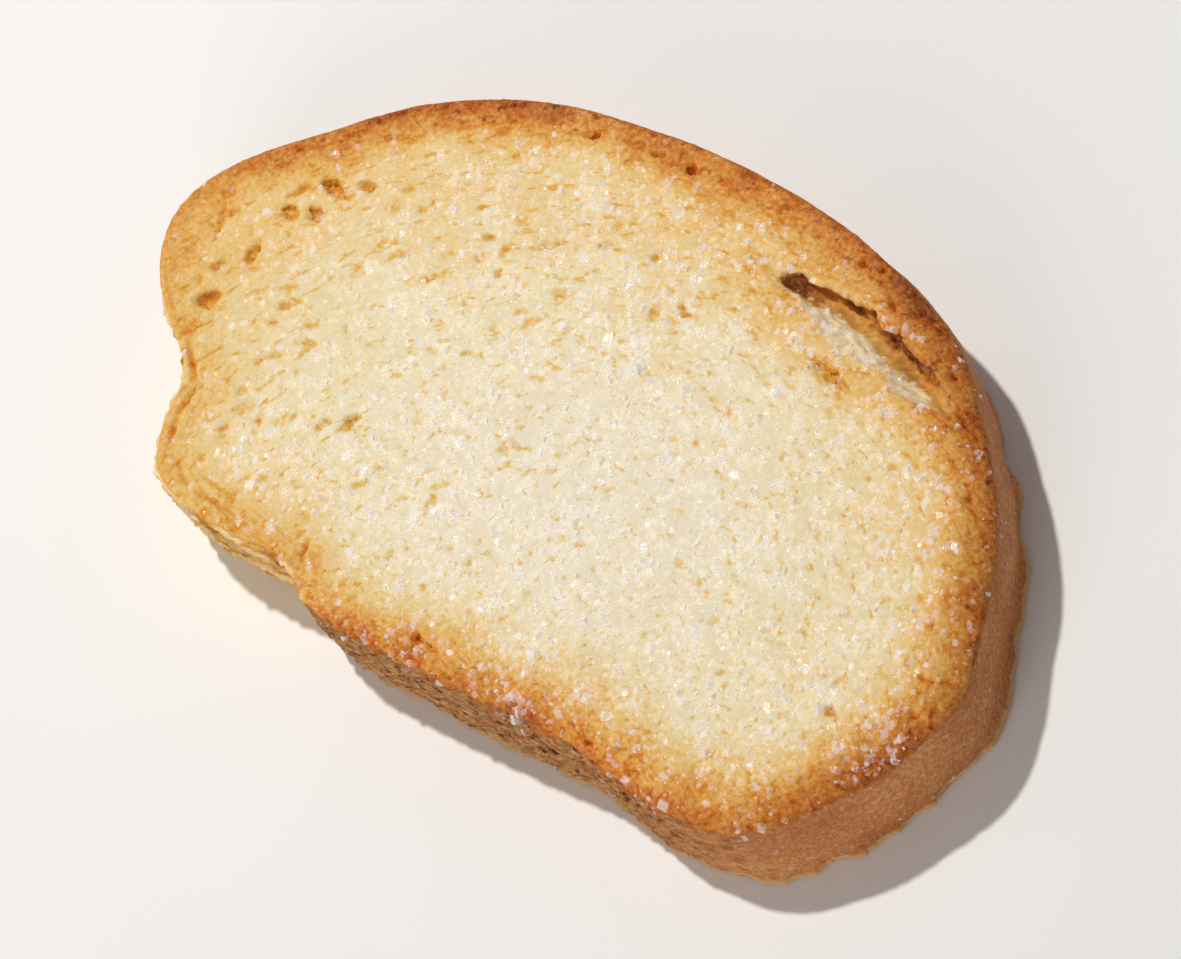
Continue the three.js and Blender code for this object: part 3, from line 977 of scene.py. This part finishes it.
def sugarShare(place, gap):
    # How thickly the sugar lies: thin over the torn left end and on the browned rim
    least, growing = sugar["thin"]
    share = least + (1 - least) * ease(*growing, place.x)
    atDome, moreAtBase = sugar["rimShare"]
    bare = atDome + moreAtBase * ease(5, -12, place.y)
    share *= bare + (1 - bare) * ease(*sugar["rimInset"], gap)
    mean, wide, narrow = sugar["patches"]
    patch = mean + wide * noise.noise(place * 0.16) + narrow * noise.noise(place * 0.6)
    return share * max(0.15, patch)


def rayDown(draw):  # a place on the face, now and then in a clump, with its least share of sugar
    x, y = (draw.uniform(-half, half) for half in sugar["area"])
    least = 0.0
    if draw.random() < sugar["clumped"]:
        middleX, middleY, spread = draw.choice(sugar["clumps"])
        x, y = draw.gauss(middleX, spread), draw.gauss(middleY, spread)
        least = sugar["clumpShare"]
    return Vector((x, y, sugar["fallFrom"])), Vector((0, 0, -1)), least


def rayAside(draw):  # level, from outside the slice to a point inside it
    out, heights, half = sugar["aside"]
    turn = draw.uniform(0, math.tau)
    start = Vector((math.cos(turn) * out, math.sin(turn) * out, draw.uniform(*heights)))
    return start, (Vector((draw.uniform(-half, half), 0, start.z)) - start).normalized()


def landing(surface, outline, caveTree, widths, dusty, draw):
    # Where a crystal comes to rest: the place and the surface's direction, or nothing
    if dusty:
        start, aim = rayAside(draw)
        hit, normal, *rest = surface.ray_cast(start * mm, aim)
        if hit is None or abs(normal.z) > sugar["level"]:
            return None
        mean, waves = sugar["asideShare"]
        return (hit, normal) if draw.random() <= mean + noise.noise(hit / mm * waves) else None
    start, aim, least = rayDown(draw)
    hit, normal, *rest = surface.ray_cast(start * mm, aim)
    if hit is None or hit.z < sugar["lowest"] * mm or normal.z < sugar["level"]:
        return None
    place = Vector((start.x, start.y, 0))
    inwards, rampWidth = caveInwards(place, caveTree, widths)
    share = max(least, sugarShare(place, outline.find(place)[2]))
    reach, depth, onRamp = sugar["inCave"]
    if abs(inwards) < reach and hit.z < cadHigh.z - depth * mm:
        share = onRamp if 0.0 < inwards < rampWidth else 0.0
    missing, reaches = sugar["besideCave"]
    share *= 1 - missing * ease(*reaches, abs(inwards))
    return (hit, normal) if draw.random() < share else None


def scatterSugar(surface, outline, shapes, count, sizes, dust, draw):
    caveTree, widths = caveLine()
    bm = bmesh.new()
    made = 0
    while made < count:
        found = landing(surface, outline, caveTree, widths, draw.random() < dust, draw)
        if found is None:
            continue
        hit, normal = found
        low, high = sizes
        size = (low + (high - low) * draw.random() ** 1.8) * mm
        tilts = [math.radians(draw.gauss(0, sugar["lean"])) for axis in range(2)]
        lean = Euler((*tilts, draw.uniform(0, math.tau)))
        turn = normal.to_track_quat("Z", "Y").to_matrix().to_4x4() @ lean.to_matrix().to_4x4()
        lift = size * 0.45 * (0.5 - draw.uniform(*sugar["sunk"]))
        grain = draw.choice(shapes).copy()
        grain.transform(Matrix.Translation(hit + normal * lift) @ turn @ Matrix.Scale(size, 4))
        bm.from_mesh(grain)
        bpy.data.meshes.remove(grain)
        made += 1
    mesh = bpy.data.meshes.new("sugar")
    bm.to_mesh(mesh)
    bm.free()
    return mesh


def sugarCrystal():
    # White sugar crystal, broken: some facets clear, some milk-white, all of them sharp, so that it
    # glints and looks whitish over the crumb. The milk-white facets, picked at random, are partly
    # painted glint
    material, tree, shader = openMaterial("white_sugar_crystal")
    coords = addNode(tree, "TexCoord")
    cloud = addNode(
        tree, "TexNoise", [("Vector", coords, "Object")],
        [("Scale", 1 / (sugar["cloud"] * mm)), ("Detail", 2.0)])
    clear, grey = (linear(colour) for colour in sugar["milk"])
    milk = addNode(tree, "Mix", [("Factor", cloud)], [("A", clear), ("B", grey)], data_type="RGBA")
    tree.links.new(milk.outputs["Result"], shader.inputs["Base Color"])
    width, depth = sugar["ripple"]
    ripples = addNode(
        tree, "TexNoise", [("Vector", coords, "Object")],
        [("Scale", 1 / (width * mm)), ("Detail", 2.0)])
    bump = addNode(
        tree, "Bump", [("Height", ripples)], [("Strength", 1.0), ("Distance", depth * mm)])
    tree.links.new(bump.outputs["Normal"], shader.inputs["Normal"])
    shader.inputs["Roughness"].default_value = 0.08
    shader.inputs["IOR"].default_value = 1.54
    milkAndGlint = addNode(tree, "Attribute", attribute_name="milkAndGlint")
    least, most = sugar["cover"]
    cover = addNode(
        tree, "MapRange", [("Value", milkAndGlint, "Fac")], [("To Min", least), ("To Max", most)])
    tree.links.new(cover.outputs["Result"], shader.inputs["Alpha"])
    return material


def spreadSugar(bread, outline):
    bm = bmesh.new()
    bm.from_mesh(bread.data)
    surface = BVHTree.FromBMesh(bm)
    bm.free()
    draw = random.Random(sugar["seed"])
    material = sugarCrystal()
    outlineTree = makeTree(outline)
    for name, (count, sizes, worn, dust) in sugar["kinds"].items():
        shapes = [makeCrystal(draw, worn) for i in range(sugar["shapes"])]
        piece = showMesh(name, scatterSugar(surface, outlineTree, shapes, count, sizes, dust, draw))
        piece.data.materials.append(material)
        piece.visible_shadow = False  # clear crystals let the light through to the crumb
        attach(piece, "root")
        print(name + ":", sum(len(face.vertices) - 2 for face in piece.data.polygons), "triangles")
        for shape in shapes:
            bpy.data.meshes.remove(shape)


placeCamera()
lightStudio()
layFloor()
print("studio: camera, lights and floor placed")
outline = cutOutline(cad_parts["rusk"].data)
rusk = makeSlice(outline)
rusk.data.materials.clear()
rusk.data.materials.append(bakedBread())
spreadSugar(rusk, outline)
